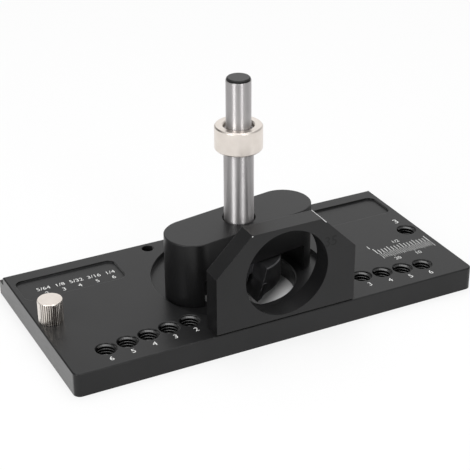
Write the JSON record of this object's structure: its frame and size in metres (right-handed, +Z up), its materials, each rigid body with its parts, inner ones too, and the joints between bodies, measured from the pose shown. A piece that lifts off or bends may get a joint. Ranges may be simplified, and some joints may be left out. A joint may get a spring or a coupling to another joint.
{
  "type": "hinge boring jig",
  "caption": "Boring jig for concealed hinge cups: flat plate with stop holes, a port block and a guided cutter spindle.",
  "frame": {"origin": "middle of the plate's underside, ledge included; the spindle's axis is 2.5 mm in front of it", "axes": "+Z up along the spindle, +X along the plate to the right, -Y towards the viewing port"},
  "size_m": [0.175, 0.086, 0.0952],
  "materials": {
    "black_anodised": "satin black anodised aluminium",
    "dark_steel": "blackened steel",
    "bearing_steel": "ground steel",
    "cage_brass": "pressed",
    "turned_steel": "turned and polished",
    "cutting_steel": "ground",
    "satin_nickel": "satin nickel",
    "black_cap": "matt"
  },
  "bodies": {
    "base": {"base_plate": "black_anodised", "port_block": "black_anodised", "guide_bridge": "black_anodised", "block_screws": "dark_steel", "bridge_screws": "dark_steel", "outer_races": "bearing_steel", "outer_spacer": "bearing_steel", "bearing_circlip": "dark_steel"},
    "inner_rings": {"inner_races": "bearing_steel", "inner_spacer": "bearing_steel"},
    "ball_sets": {"bearing_balls": "bearing_steel", "bearing_cages": "cage_brass"},
    "cutter_spindle": {"spindle": "turned_steel", "shank_cap": "black_cap", "cutter_body": "dark_steel", "cutting_blades": "cutting_steel", "scoring_spurs": "cutting_steel", "centre_point": "cutting_steel"},
    "depth_collar": {"stop_collar": "satin_nickel", "collar_screw": "dark_steel"},
    "stop_stud": {"knob_stud": "satin_nickel"},
    "stop_knob_head": {"stop_knob": "satin_nickel"}
  },
  "joints": [
    {"name": "spindle_spin", "type": "hinge", "parent": "base", "child": "inner_rings", "pos_m": [0, -0.0025, 0.027], "axis": [0, 0, 1], "continuous": true},
    {"name": "cage_spin", "type": "hinge", "parent": "base", "child": "ball_sets", "pos_m": [0, -0.0025, 0.027], "axis": [0, 0, 1], "continuous": true},
    {"name": "plunge", "type": "slide", "parent": "inner_rings", "child": "cutter_spindle", "axis": [0, 0, -1], "range_m": [-0.0005, 0.03]},
    {"name": "collar_slide", "type": "slide", "parent": "cutter_spindle", "child": "depth_collar", "axis": [0, 0, 1], "range_m": [-0.03, 0]},
    {"name": "knob_lift", "type": "slide", "parent": "base", "child": "stop_stud", "axis": [0, 0, 1], "range_m": [0, 0.007]},
    {"name": "knob_turn", "type": "hinge", "parent": "stop_stud", "child": "stop_knob_head", "pos_m": [-0.0814, -0.0025, 0.0145], "axis": [0, 0, 1], "range_deg": [0, 2020]}
  ],
  "couplings": [
    {"joint": "cage_spin", "follows": "spindle_spin", "ratio": 0.4364},
    {"joint": "knob_turn", "follows": "knob_lift", "rad_per_m": 5026.5}
  ]
}
